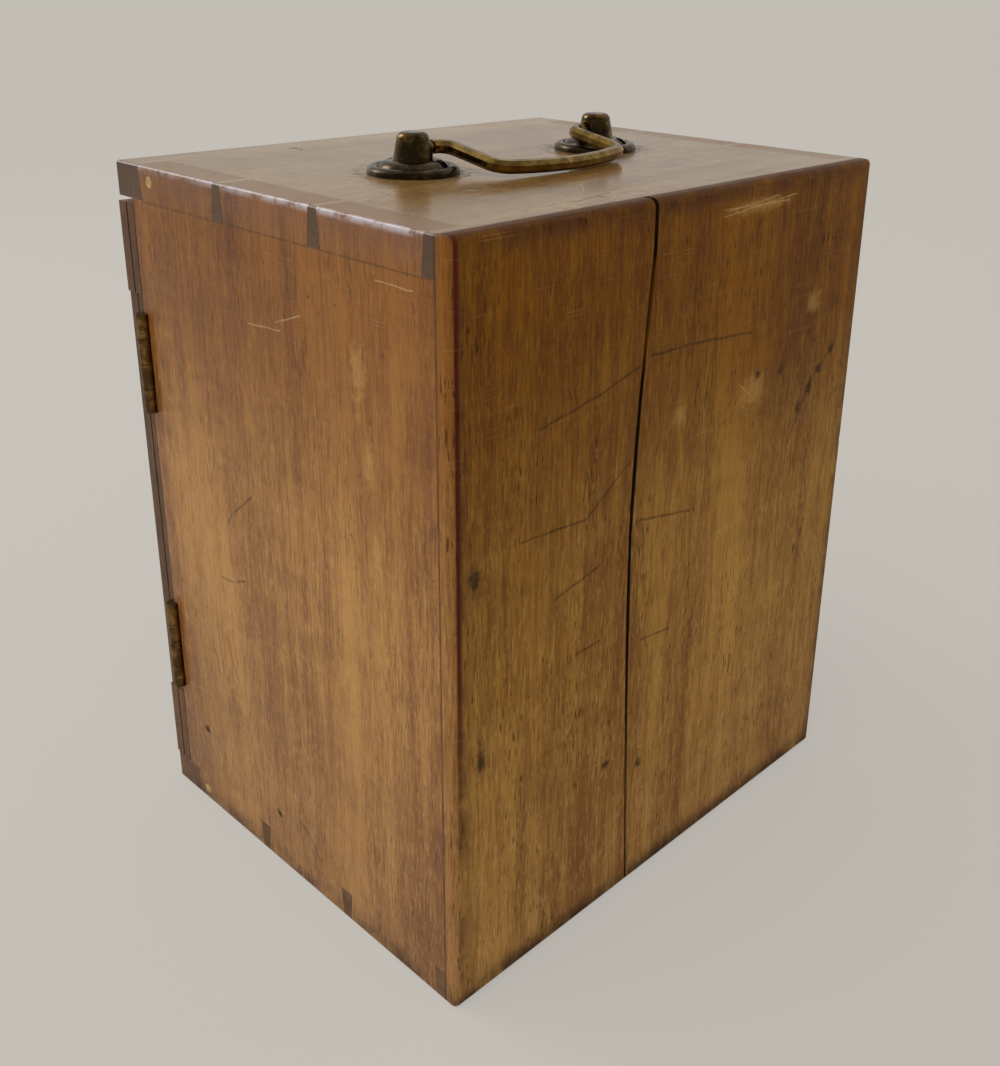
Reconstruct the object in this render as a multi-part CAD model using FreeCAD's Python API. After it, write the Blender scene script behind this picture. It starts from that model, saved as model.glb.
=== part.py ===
import FreeCAD, Part
import os
from math import asin, cos, degrees, pi, radians, sin
from FreeCAD import Vector

# Carrying case of an optical lantern: a dovetailed box with a hinged door and a drop handle on top.
# Millimetres. +Z is up, the door faces -Y and is hinged at +X, z = 0 is the surface it stands on.

# Overall sizes of the box
CASE_W = 247.0
CASE_D = 203.0
CASE_H = 300.0
BOARD_T = 14.0
BACK_T = 6.0
EDGE_ROUND = 1.2
BACK_ROUND = 3.2

# Through dovetails: the top and bottom boards carry the pins, the sides carry the tails
PIN_COUNT = 2
PIN_BASE_W = 7.0
HALF_PIN_FRONT = 7.8
HALF_PIN_BACK = 6.5
DOVETAIL_SLOPE = 0.1
CHEEK_GAP = 0.15

# Shrinkage split down the back board, as fractions of the height and distances from the middle
SPLIT_LINE = [(0.0, 24.4), (0.32, 29.5), (0.57, 31.9), (0.75, 29.7), (0.94, 25.0), (1.0, 25.2)]
SPLIT_TOP_W = 1.7
SPLIT_BOTTOM_W = 1.1

# Chip knocked out of the back edge on the lock side, its height as a fraction of the case's
CHIP_R = 4.0
CHIP_DEPTH = 3.0
CHIP_HEIGHT = 0.567

# Door: an upright panel between two cleats, tongued into them
DOOR_T = 12.5
DOOR_PROUD = 1.6
DOOR_REST_GAP = 0.6
DOOR_TOP_GAP = 2.4
DOOR_BOTTOM_GAP = 0.6
DOOR_ROUND = 1.5
CLEAT_W = 38.0
PANEL_SHRINK = 0.8
TONGUE_T = 4.0
TONGUE_L = 8.0
TONGUE_STOP = 16.0
BEAD_W = 4.8
QUIRK_W = 0.9
QUIRK_D = 1.1

# Butt hinges
HINGE_L = 44.0
HINGE_FOOT_MARGIN = 4.9
HINGE_HEAD_MARGIN = 7.5
KNUCKLES = 4
KNUCKLE_R = 2.8
KNUCKLE_GAP = 0.3
HINGE_STAND_OFF = 1.0
LEAF_T = 1.6
LEAF_W = 12.5
PIN_R = 1.2
PIN_CLEARANCE = 0.05
SWING_CLEARANCE = 0.4
HINGE_SCREW_SHARES = [(0.18, 0.62), (0.5, 0.38), (0.82, 0.62)]
HINGE_SCREW_HEAD_R = 2.6
HINGE_SCREW_R = 1.3
CASE_SCREW_L = 14.0
DOOR_SCREW_L = 9.0

# Handle: two turned posts on domed roses, and a bar bent into a bail
HANDLE_Y = 2.0
POST_SPACING = 106.0
ROSE_R = 18.2
ROSE_RIM_W = 4.2
ROSE_CROWN_W = 2.2
ROSE_RIM_H = 3.2
ROSE_EDGE_H = 0.8
ROSE_FLOOR_H = 2.4
ROSE_HUB_H = 5.0
ROSE_HUB_MARGIN = 0.5
POST_BASE_R = 8.0
POST_TOP_R = 6.4
POST_H = 15.8
POST_DOME_R = 2.8
SPIGOT_R = 3.0
SPIGOT_L = 9.0
AXLE_H = 9.2
AXLE_R = 2.0
AXLE_CLEARANCE = 0.08
AXLE_END_GAP = 1.0
AXLE_MOUTH_R = 3.6
BAR_FLATS = 5.2
BAIL_ARM_X = 36.0
BAIL_REACH = 36.0
BAIL_SHOULDER_R = 6.0
BAIL_CORNER_R = 8.0
BAIL_BOW_DEG = 15.0
BAIL_REST_GAP = 0.5
ROSE_SCREWS = 2
ROSE_SCREW_ANGLE = -62.0
ROSE_SCREW_CIRCLE_R = 12.0
ROSE_SCREW_HEAD_R = 2.7
ROSE_SCREW_R = 1.4
ROSE_SCREW_L = 11.0

# Straight cupboard lock on the inner face of the door, and its keeper in the side board
LOCK_W = 42.0
LOCK_PLATE_H = 64.0
LOCK_CAP_H = 46.0
LOCK_T = 11.0
LOCK_WALL = 1.4
LOCK_SIDE_GAP = 1.5
BOLT_L = 28.0
BOLT_H = 16.0
BOLT_T = 4.6
BOLT_TRAVEL = 6.0
BOLT_CLEARANCE = 0.15
STUMP_R = 2.0
STUMP_BACK = 12.0
KEYHOLE_R = 2.6
KEYHOLE_SLOT_W = 2.6
KEYHOLE_SLOT_L = 8.0
KEYHOLE_DROP = 11.0
KEYHOLE_BACK = 23.0
ESCUTCHEON_WALL = 1.5
ESCUTCHEON_T = 2.0
KEEPER_W = 8.2
KEEPER_H = 36.0
KEEPER_T = 1.2
KEEPER_CLEARANCE = 0.4
KEEPER_SCREW_SPACING = 27.0
MORTISE_DEPTH = 8.0
LOCK_SCREW_HEAD_R = 2.4
LOCK_SCREW_R = 1.3
LOCK_SCREW_L = 8.0

# Nails through the front tails
NAIL_HEAD_R = 1.3
NAIL_HEAD_T = 0.7
NAIL_R = 0.8
NAIL_L = 24.0
NAIL_SET_BACK = 14.5
NAIL_EDGE = 6.0

# How near an edge's end has to lie to a plane to count as on it
NEAR = 0.01

# Planes worked out from the sizes above
HALF_W = CASE_W / 2
FRONT = -CASE_D / 2
BACK = CASE_D / 2
BACK_INNER = BACK - BACK_T
DOOR_FRONT = FRONT - DOOR_PROUD
DOOR_BACK = DOOR_FRONT + DOOR_T
SIDE_FRONT = DOOR_BACK + DOOR_REST_GAP
SIDE_INNER = HALF_W - BOARD_T
TOP_UNDER = CASE_H - BOARD_T
DOOR_BOTTOM = BOARD_T + DOOR_BOTTOM_GAP
DOOR_TOP = TOP_UNDER - DOOR_TOP_GAP
PANEL_BOTTOM = DOOR_BOTTOM + CLEAT_W
PANEL_TOP = DOOR_TOP - CLEAT_W
PANEL_HALF_W = HALF_W - PANEL_SHRINK
HINGE_FEET = {"lower": PANEL_BOTTOM + HINGE_FOOT_MARGIN, "upper": PANEL_TOP - HINGE_HEAD_MARGIN - HINGE_L}
HINGE_AXIS = Vector(HALF_W + HINGE_STAND_OFF, DOOR_BACK + DOOR_REST_GAP / 2, 0)
POST_SHOULDER_H = POST_H - POST_DOME_R
AXLE_Z = CASE_H + AXLE_H
LOCK_OUTER = -SIDE_INNER + LOCK_SIDE_GAP
LOCK_Z = CASE_H / 2
BOLT_Y = DOOR_BACK + LOCK_T / 2
KEYHOLE_X = LOCK_OUTER + KEYHOLE_BACK
KEYHOLE_Z = LOCK_Z - KEYHOLE_DROP


def box(x0, x1, y0, y1, z0, z1):
    return Part.makeBox(x1 - x0, y1 - y0, z1 - z0, Vector(x0, y0, z0))


def cylinder(radius, length, start, direction):
    return Part.makeCylinder(radius, length, start, direction)


def prism(points, sweep):
    """Solid made by moving a flat closed outline along a vector."""
    return Part.Face(Part.makePolygon(points + points[:1])).extrude(sweep)


def turned(profile):
    """Solid of revolution about Z from a closed outline of edges in the XZ plane."""
    return Part.Face(Part.Wire(profile)).revolve(Vector(0, 0, 0), Vector(0, 0, 1), 360)


def segments(points):
    """Straight edges joining (radius, height) points in the XZ plane."""
    places = [Vector(r, 0, z) for r, z in points]
    return [Part.makeLine(a, b) for a, b in zip(places, places[1:])]


def arc(a, b, c):
    """Arc through three (radius, height) points in the XZ plane."""
    return Part.Arc(*[Vector(r, 0, z) for r, z in (a, b, c)]).toShape()


def swell(low, high):
    """Arc in the XZ plane that rises steeply from low and comes in level at high."""
    share = sin(pi / 4)
    middle = (high[0] + share * (low[0] - high[0]), low[1] + share * (high[1] - low[1]))
    return arc(low, middle, high)


def placed(shape, position, direction):
    """Copy of a shape modelled along +Z, moved to a position and turned to a direction."""
    copy = shape.copy()
    copy.Placement = FreeCAD.Placement(position, FreeCAD.Rotation(Vector(0, 0, 1), direction))
    return copy


def edges_where(shape, test):
    """Straight edges of a shape whose two ends both pass a test."""
    return [e for e in shape.Edges if len(e.Vertexes) == 2 and all(test(v.Point) for v in e.Vertexes)]


def export(name, shape):
    shape.exportStep("parts/" + name + ".step")


def screw_blank(head_r, shank_r, length):
    """Countersunk wood screw without its slot, head face at z = 0, pointing down."""
    head_h = head_r - shank_r
    tip = 2 * shank_r
    outline = [(0, 0), (head_r, 0), (shank_r, -head_h), (shank_r, tip - length), (0, -length), (0, 0)]
    return turned(segments(outline))


def screw(blank, head_r):
    """Screw with a straight slot cut across its head."""
    slot_w = 0.3 * head_r
    slot_d = 0.25 * head_r
    return blank.cut(box(-head_r, head_r, -slot_w / 2, slot_w / 2, -slot_d, 0))


def screw_set(head_r, shank_r, length, places):
    """Screws at (position, outward direction) places: the slotted ones, and the blanks as hole cutters."""
    blank = screw_blank(head_r, shank_r, length)
    slotted = screw(blank, head_r)
    screws = [placed(slotted, position, direction) for position, direction in places]
    cutters = [placed(blank, position, direction) for position, direction in places]
    return screws, cutters


# Carcass

def case_envelope():
    """Outside of the closed box with its worn edges: the back edges are rounder than the rest."""
    block = box(-HALF_W, HALF_W, FRONT, BACK, 0, CASE_H)
    block = block.makeFillet(BACK_ROUND, edges_where(block, lambda p: p.y > BACK - NEAR))
    return block.makeFillet(EDGE_ROUND, edges_where(block, lambda p: p.y < BACK - BACK_ROUND + NEAR))


def pin_places():
    """Middles of the full pins: evenly spaced tails lie between the two half pins."""
    start = SIDE_FRONT + HALF_PIN_FRONT
    span = BACK_INNER - HALF_PIN_BACK - start
    tail_w = (span - PIN_COUNT * PIN_BASE_W) / (PIN_COUNT + 1)
    pitch = tail_w + PIN_BASE_W
    return [start + pitch * (i + 1) - PIN_BASE_W / 2 for i in range(PIN_COUNT)]


def pin_outlines(extra):
    """Cross-sections (y, z) of the top board's pins and half pins, each cheek let out by extra."""
    slope = DOVETAIL_SLOPE * BOARD_T
    half = PIN_BASE_W / 2 + extra
    outlines = []
    for y in pin_places():
        outlines.append([(y - half, TOP_UNDER), (y + half, TOP_UNDER),
                         (y + half - slope, CASE_H), (y - half + slope, CASE_H)])
    front = SIDE_FRONT + HALF_PIN_FRONT + extra
    rear = BACK_INNER - HALF_PIN_BACK - extra
    outlines.append([(FRONT, TOP_UNDER), (front, TOP_UNDER), (front - slope, CASE_H), (FRONT, CASE_H)])
    outlines.append([(BACK_INNER, TOP_UNDER), (rear, TOP_UNDER), (rear + slope, CASE_H), (BACK_INNER, CASE_H)])
    return outlines


def pin_bars(extra):
    """The pins as bars that run the whole width of the case."""
    bars = []
    for outline in pin_outlines(extra):
        bars.append(prism([Vector(-HALF_W, y, z) for y, z in outline], Vector(CASE_W, 0, 0)))
    return bars


def mirrored_down(shape):
    """The same shape at the foot of the case."""
    return shape.mirror(Vector(0, 0, CASE_H / 2), Vector(0, 0, 1))


def top_board_blank():
    board = box(-SIDE_INNER, SIDE_INNER, FRONT, BACK_INNER, TOP_UNDER, CASE_H)
    return board.fuse(pin_bars(0)).removeSplitter()


def side_board_blank(x0):
    """Upright board between the pins, with sockets at both ends."""
    board = box(x0, x0 + BOARD_T, SIDE_FRONT, BACK_INNER, 0, CASE_H)
    sockets = pin_bars(CHEEK_GAP)
    return board.cut(sockets + [mirrored_down(s) for s in sockets])


def split_edge(side):
    """One edge of the split as a smooth curve up the back, at y = 0."""
    points = []
    for fraction, x in SPLIT_LINE:
        width = SPLIT_BOTTOM_W + fraction * (SPLIT_TOP_W - SPLIT_BOTTOM_W)
        points.append(Vector(x + side * width / 2, 0, fraction * CASE_H))
    curve = Part.BSplineCurve()
    curve.interpolate(points)
    return curve.toShape()


def back_board_half(side):
    """Back board on one side of the split: -1 for the wide piece, +1 for the hinge-side piece."""
    edge = split_edge(side)
    foot = edge.valueAt(edge.FirstParameter)
    head = edge.valueAt(edge.LastParameter)
    far_x = side * HALF_W
    rest = Part.makePolygon([head, Vector(far_x, 0, CASE_H), Vector(far_x, 0, 0), foot])
    face = Part.Face(Part.Wire([edge] + rest.Edges))
    board = face.extrude(Vector(0, BACK_T, 0))
    board.translate(Vector(0, BACK_INNER, 0))
    return board


def chip():
    """Ball that bites a chip out of the rounded back edge on the lock side."""
    reach = CHIP_R - CHIP_DEPTH
    return Part.makeSphere(CHIP_R, Vector(-HALF_W - reach, BACK - BACK_ROUND / 2, CHIP_HEIGHT * CASE_H))


def nail():
    """Round-headed brass nail, head face at z = 0, pointing down."""
    tip = 3 * NAIL_R
    outline = [(0, 0), (NAIL_HEAD_R, 0), (NAIL_HEAD_R, -NAIL_HEAD_T), (NAIL_R, -NAIL_HEAD_T),
               (NAIL_R, tip - NAIL_L), (0, -NAIL_L), (0, 0)]
    return turned(segments(outline))


def nails():
    """One nail through each front tail, at the four front corners."""
    y = SIDE_FRONT + NAIL_SET_BACK
    return [placed(nail(), Vector(side * HALF_W, y, z), Vector(side, 0, 0))
            for side in (-1, 1) for z in (NAIL_EDGE, CASE_H - NAIL_EDGE)]


# Door

def quirk(half_w):
    """Groove that leaves a bead along the hinge edge of the door, in line with the knuckles."""
    y = DOOR_BACK - BEAD_W
    return box(half_w - QUIRK_D, half_w, y - QUIRK_W, y, 0, CASE_H)


def beaded(board, half_w):
    """Round the front arrises of a door board and run the quirk down its hinge edge."""
    front = edges_where(board, lambda p: p.y < DOOR_FRONT + NEAR and abs(abs(p.x) - half_w) < NEAR)
    return board.makeFillet(DOOR_ROUND, front).cut(quirk(half_w))


def tongue(z0, z1, gap):
    """Tongue in the middle of the door's thickness, stopped short of both edges."""
    middle = (DOOR_FRONT + DOOR_BACK) / 2
    half_t = TONGUE_T / 2 + gap
    reach = PANEL_HALF_W - TONGUE_STOP + gap
    return box(-reach, reach, middle - half_t, middle + half_t, z0, z1)


def door_panel_blank():
    board = box(-PANEL_HALF_W, PANEL_HALF_W, DOOR_FRONT, DOOR_BACK, PANEL_BOTTOM, PANEL_TOP)
    board = beaded(board, PANEL_HALF_W)
    board = board.fuse(tongue(PANEL_TOP, PANEL_TOP + TONGUE_L, 0))
    return board.fuse(tongue(PANEL_BOTTOM - TONGUE_L, PANEL_BOTTOM, 0))


def door_cleat(z0, z1, groove):
    board = box(-HALF_W, HALF_W, DOOR_FRONT, DOOR_BACK, z0, z1)
    return beaded(board, HALF_W).cut(groove)


# Hinges

def knuckle_spans(first):
    """Heights of every other knuckle, measured from the foot of the hinge."""
    pitch = HINGE_L / KNUCKLES
    return [(i * pitch, (i + 1) * pitch) for i in range(first, KNUCKLES, 2)]


def hinge_foot(z):
    return HINGE_AXIS + Vector(0, 0, z)


def barrel(foot, radius, spans, trim):
    """Short cylinders about the hinge axis, each shortened at both ends by trim."""
    up = Vector(0, 0, 1)
    return [cylinder(radius, z1 - z0 - 2 * trim, foot + up * (z0 + trim), up) for z0, z1 in spans]


def leaf_plate(foot, y0):
    x0 = HALF_W - LEAF_W
    return box(x0, HINGE_AXIS.x, y0, y0 + LEAF_T, foot.z, foot.z + HINGE_L)


def leaf_screw_places(foot, y, direction):
    """Three screws per leaf, the middle one set nearer the knuckles."""
    return [(Vector(HALF_W - inward * LEAF_W, y, foot.z + upward * HINGE_L), direction)
            for upward, inward in HINGE_SCREW_SHARES]


def hinge_leaf(foot, y0, own, other, bore_r, cutters):
    """Leaf with its own knuckles, cut clear of the other leaf's knuckles, bored for the pin."""
    plate = leaf_plate(foot, y0).cut(barrel(foot, KNUCKLE_R + SWING_CLEARANCE, other, -KNUCKLE_GAP / 2))
    leaf = plate.fuse(barrel(foot, KNUCKLE_R, own, KNUCKLE_GAP / 2))
    trims = [box(HALF_W - LEAF_W, HINGE_AXIS.x, y0, y0 + LEAF_T, foot.z + z, foot.z + z + KNUCKLE_GAP / 2)
             for z in (0, HINGE_L - KNUCKLE_GAP / 2)]
    bore = cylinder(bore_r, HINGE_L, foot, Vector(0, 0, 1))
    return leaf.cut(trims + [bore] + cutters).removeSplitter()


def hinge_pin(foot):
    up = Vector(0, 0, 1)
    return cylinder(PIN_R, HINGE_L - KNUCKLE_GAP, foot + up * (KNUCKLE_GAP / 2), up)


def hinge_pocket(foot):
    """Room cut in the wood for the barrel to turn in."""
    return cylinder(KNUCKLE_R + SWING_CLEARANCE, HINGE_L, foot, Vector(0, 0, 1))


# Handle

def rose():
    """Round plate with a heavy rim, a hollow inside it and a dome up to the post, bored for the spigot."""
    hollow = (ROSE_R - ROSE_RIM_W, ROSE_FLOOR_H)
    crown = (ROSE_R - ROSE_CROWN_W, ROSE_RIM_H)
    edge = (ROSE_R, ROSE_EDGE_H)
    hub = (POST_BASE_R + ROSE_HUB_MARGIN, ROSE_HUB_H)
    outline = segments([hub, (SPIGOT_R, ROSE_HUB_H), (SPIGOT_R, 0), (ROSE_R, 0), edge])
    return turned(outline + [swell(edge, crown), swell(hollow, crown), swell(hollow, hub)])


def post():
    """Tapered post with a domed top and a spigot that goes down through the rose."""
    shoulder = (POST_TOP_R, POST_SHOULDER_H)
    crown = (POST_TOP_R - POST_DOME_R, POST_H)
    outline = segments([crown, (0, POST_H), (0, -SPIGOT_L), (SPIGOT_R, -SPIGOT_L), (SPIGOT_R, ROSE_HUB_H),
                        (POST_BASE_R, ROSE_HUB_H), shoulder])
    return turned(outline + [swell(shoulder, crown)])


def post_x(side):
    return side * POST_SPACING / 2


def axle_bore(side):
    """Blind hole for the bail's end in the inner face of a post, with a countersunk mouth."""
    inward = Vector(-side, 0, 0)
    middle = Vector(post_x(side), HANDLE_Y, AXLE_Z)
    blind_end = middle - inward * AXLE_END_GAP
    bore = cylinder(AXLE_R + AXLE_CLEARANCE, AXLE_END_GAP + POST_BASE_R, blind_end, inward)
    taper = (POST_BASE_R - POST_TOP_R) / (POST_SHOULDER_H - ROSE_HUB_H)
    post_r = POST_BASE_R - taper * (AXLE_H - ROSE_HUB_H)
    depth = AXLE_MOUTH_R - AXLE_R
    mouth = Part.makeCone(AXLE_R, AXLE_R + 2 * depth, 2 * depth, middle + inward * (post_r - depth), inward)
    return [bore, mouth]


def rose_screw_places(side):
    """Screws spaced evenly round each rose, from the angle of the first one."""
    places = []
    for i in range(ROSE_SCREWS):
        angle = radians(ROSE_SCREW_ANGLE) + 2 * pi * i / ROSE_SCREWS
        x = post_x(side) + ROSE_SCREW_CIRCLE_R * cos(angle)
        y = HANDLE_Y + ROSE_SCREW_CIRCLE_R * sin(angle)
        places.append((Vector(x, y, CASE_H + ROSE_FLOOR_H), Vector(0, 0, 1)))
    return places


def bail_path():
    """Middle line of the bail laid flat: in along the axle, out along an arm, and round the bowed grip."""
    turn = radians(90 - BAIL_BOW_DEG)
    bow = radians(BAIL_BOW_DEG)
    grip_half = BAIL_ARM_X - BAIL_CORNER_R * (1 - cos(turn))
    grip_r = grip_half / sin(bow)
    corner_end = BAIL_REACH - grip_r * (1 - cos(bow))
    corner_start = corner_end - BAIL_CORNER_R * sin(turn)
    shoulder = BAIL_ARM_X + BAIL_SHOULDER_R
    axle_end = Vector(shoulder + BAIL_SHOULDER_R / 4, 0, 0)

    def on_arc(centre_x, centre_y, radius, angle):
        return Vector(centre_x + radius * cos(angle), centre_y + radius * sin(angle), 0)

    shoulder_mid = on_arc(shoulder, BAIL_SHOULDER_R, BAIL_SHOULDER_R, 1.25 * pi)
    corner_x = BAIL_ARM_X - BAIL_CORNER_R
    corner_mid = on_arc(corner_x, corner_start, BAIL_CORNER_R, turn / 2)
    right = [axle_end, Vector(shoulder, 0, 0), shoulder_mid, Vector(BAIL_ARM_X, BAIL_SHOULDER_R, 0),
             Vector(BAIL_ARM_X, corner_start, 0), corner_mid, Vector(grip_half, corner_end, 0)]
    left = [Vector(-p.x, p.y, 0) for p in reversed(right)]
    middle = Vector(0, BAIL_REACH, 0)
    return [Part.makeLine(right[0], right[1]), Part.Arc(right[1], right[2], right[3]).toShape(),
            Part.makeLine(right[3], right[4]), Part.Arc(right[4], right[5], right[6]).toShape(),
            Part.Arc(right[6], middle, left[0]).toShape(), Part.Arc(left[0], left[1], left[2]).toShape(),
            Part.makeLine(left[2], left[3]), Part.Arc(left[3], left[4], left[5]).toShape(),
            Part.makeLine(left[5], left[6])]


def bail():
    """Eight-sided bar bent to the path, with round ends, lying back close to the top board."""
    edges = bail_path()
    start = edges[0].Vertexes[0].Point
    corner_r = BAR_FLATS / 2 / cos(pi / 8)
    ring = [start + Vector(0, corner_r * cos(a), corner_r * sin(a))
            for a in [pi / 8 + i * pi / 4 for i in range(8)]]
    sweep = Part.BRepOffsetAPI.MakePipeShell(Part.Wire(edges))
    sweep.setBiNormalMode(Vector(0, 0, 1))
    sweep.add(Part.makePolygon(ring + ring[:1]))
    sweep.build()
    sweep.makeSolid()
    bar = sweep.shape()
    ends = []
    for side in (-1, 1):
        inner = Vector(side * start.x, 0, 0)
        ends.append(cylinder(AXLE_R, abs(post_x(side)) - start.x, inner, Vector(side, 0, 0)))
    bar = bar.fuse(ends)
    droop = asin((AXLE_H - BAR_FLATS / 2 - BAIL_REST_GAP) / BAIL_REACH)
    bar.rotate(Vector(0, 0, 0), Vector(1, 0, 0), -degrees(droop))
    bar.translate(Vector(0, HANDLE_Y, AXLE_Z))
    return bar


# Lock

def keyhole(margin, y0, y1):
    """Round hole with a slot below it, let out all round by margin."""
    along = Vector(0, 1, 0)
    half = KEYHOLE_SLOT_W / 2 + margin
    hole = cylinder(KEYHOLE_R + margin, y1 - y0, Vector(KEYHOLE_X, y0, KEYHOLE_Z), along)
    foot = KEYHOLE_Z - KEYHOLE_SLOT_L
    slot = box(KEYHOLE_X - half, KEYHOLE_X + half, y0, y1, foot, KEYHOLE_Z)
    end = cylinder(half, y1 - y0, Vector(KEYHOLE_X, y0, foot), along)
    return hole.fuse([slot, end]).removeSplitter()


def bolt_box(x0, x1, margin):
    half_t = BOLT_T / 2 + margin
    half_h = BOLT_H / 2 + margin
    return box(x0, x1, BOLT_Y - half_t, BOLT_Y + half_t, LOCK_Z - half_h, LOCK_Z + half_h)


def lock_plate(cutters):
    """Flat plate against the door, with the stump that carries and guides the bolt."""
    half_h = LOCK_PLATE_H / 2
    plate = box(LOCK_OUTER, LOCK_OUTER + LOCK_W, DOOR_BACK, DOOR_BACK + LOCK_WALL,
                LOCK_Z - half_h, LOCK_Z + half_h)
    stump_start = Vector(LOCK_OUTER + STUMP_BACK, DOOR_BACK + LOCK_WALL, LOCK_Z)
    stump = cylinder(STUMP_R, LOCK_T - 2 * LOCK_WALL, stump_start, Vector(0, 1, 0))
    return plate.fuse(stump).cut(cutters + [keyhole(0, DOOR_BACK, DOOR_BACK + LOCK_WALL)])


def lock_cap():
    """Box over the works, open towards the plate, slotted for the bolt."""
    half_h = LOCK_CAP_H / 2
    y0 = DOOR_BACK + LOCK_WALL
    outside = box(LOCK_OUTER, LOCK_OUTER + LOCK_W, y0, DOOR_BACK + LOCK_T, LOCK_Z - half_h, LOCK_Z + half_h)
    inside = box(LOCK_OUTER + LOCK_WALL, LOCK_OUTER + LOCK_W - LOCK_WALL, y0, DOOR_BACK + LOCK_T - LOCK_WALL,
                 LOCK_Z - half_h + LOCK_WALL, LOCK_Z + half_h - LOCK_WALL)
    return outside.cut([inside, bolt_box(LOCK_OUTER, LOCK_OUTER + LOCK_WALL, BOLT_CLEARANCE)])


def lock_bolt():
    """Bolt drawn back into the lock: slotted over the stump, with a talon for the key."""
    bar = bolt_box(LOCK_OUTER, LOCK_OUTER + BOLT_L, 0)
    half = STUMP_R + BOLT_CLEARANCE
    stump_x = LOCK_OUTER + STUMP_BACK
    slot = box(stump_x, stump_x + BOLT_TRAVEL, BOLT_Y - BOLT_T, BOLT_Y + BOLT_T, LOCK_Z - half, LOCK_Z + half)
    ends = [cylinder(half, 2 * BOLT_T, Vector(x, BOLT_Y - BOLT_T, LOCK_Z), Vector(0, 1, 0))
            for x in (stump_x, stump_x + BOLT_TRAVEL)]
    talon_r = 0.6 * KEYHOLE_SLOT_L
    talon_start = Vector(KEYHOLE_X, BOLT_Y - BOLT_T, LOCK_Z - BOLT_H / 2)
    talon = cylinder(talon_r, 2 * BOLT_T, talon_start, Vector(0, 1, 0))
    return bar.cut([slot, talon] + ends)


def lock_screw_places():
    inset = (LOCK_PLATE_H - LOCK_CAP_H) / 4
    half_h = LOCK_PLATE_H / 2 - inset
    xs = (LOCK_OUTER + inset, LOCK_OUTER + LOCK_W - inset)
    y = DOOR_BACK + LOCK_WALL
    return [(Vector(x, y, LOCK_Z + s * half_h), Vector(0, 1, 0)) for x in xs for s in (-1, 1)]


def escutcheon_blank():
    return keyhole(ESCUTCHEON_WALL, DOOR_FRONT, DOOR_FRONT + ESCUTCHEON_T)


def keeper_blank():
    half_h = KEEPER_H / 2
    half_w = KEEPER_W / 2
    return box(-SIDE_INNER - KEEPER_T, -SIDE_INNER, BOLT_Y - half_w, BOLT_Y + half_w,
               LOCK_Z - half_h, LOCK_Z + half_h)


def keeper_screw_places():
    half = KEEPER_SCREW_SPACING / 2
    return [(Vector(-SIDE_INNER, BOLT_Y, LOCK_Z + s * half), Vector(1, 0, 0)) for s in (-1, 1)]


def bolt_mortise():
    return bolt_box(-SIDE_INNER - MORTISE_DEPTH, -SIDE_INNER, KEEPER_CLEARANCE)


def build_hinges():
    """Both hinges: exports their brass and returns the cutters for the side board and the door."""
    case_tools = []
    door_tools = []
    case_screws = []
    door_screws = []
    case_y = SIDE_FRONT
    door_y = DOOR_BACK - LEAF_T
    case_knuckles = knuckle_spans(0)
    door_knuckles = knuckle_spans(1)
    for name, foot_z in HINGE_FEET.items():
        foot = hinge_foot(foot_z)
        case_places = leaf_screw_places(foot, case_y, Vector(0, -1, 0))
        door_places = leaf_screw_places(foot, DOOR_BACK, Vector(0, 1, 0))
        screws, case_holes = screw_set(HINGE_SCREW_HEAD_R, HINGE_SCREW_R, CASE_SCREW_L, case_places)
        case_screws += screws
        screws, door_holes = screw_set(HINGE_SCREW_HEAD_R, HINGE_SCREW_R, DOOR_SCREW_L, door_places)
        door_screws += screws
        case_leaf = hinge_leaf(foot, case_y, case_knuckles, door_knuckles, PIN_R, case_holes)
        door_leaf = hinge_leaf(foot, door_y, door_knuckles, case_knuckles, PIN_R + PIN_CLEARANCE, door_holes)
        export(name + "_hinge_case_leaf", case_leaf)
        export(name + "_hinge_door_leaf", door_leaf)
        export(name + "_hinge_pin", hinge_pin(foot))
        case_tools += [leaf_plate(foot, case_y), hinge_pocket(foot)] + case_holes
        door_tools += [leaf_plate(foot, door_y), hinge_pocket(foot)] + door_holes
    export("hinge_case_screws", Part.makeCompound(case_screws))
    export("hinge_door_screws", Part.makeCompound(door_screws))
    return case_tools, door_tools


def build_handle():
    """Roses, posts, screws and bail: returns the cutters for the top board."""
    tools = []
    screws = []
    for name, side in (("near", 1), ("far", -1)):
        base = Vector(post_x(side), HANDLE_Y, CASE_H)
        places = rose_screw_places(side)
        new_screws, holes = screw_set(ROSE_SCREW_HEAD_R, ROSE_SCREW_R, ROSE_SCREW_L, places)
        screws += new_screws
        placed_rose = placed(rose(), base, Vector(0, 0, 1))
        placed_post = placed(post(), base, Vector(0, 0, 1))
        recesses = [cylinder(ROSE_SCREW_HEAD_R, ROSE_HUB_H, position, up) for position, up in places]
        export(name + "_handle_rose", placed_rose.cut(holes + recesses))
        export(name + "_handle_post", placed_post.cut(axle_bore(side)))
        tools += holes + [cylinder(SPIGOT_R, SPIGOT_L, base, Vector(0, 0, -1))]
    export("handle_rose_screws", Part.makeCompound(screws))
    export("handle_bail", bail())
    return tools


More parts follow.
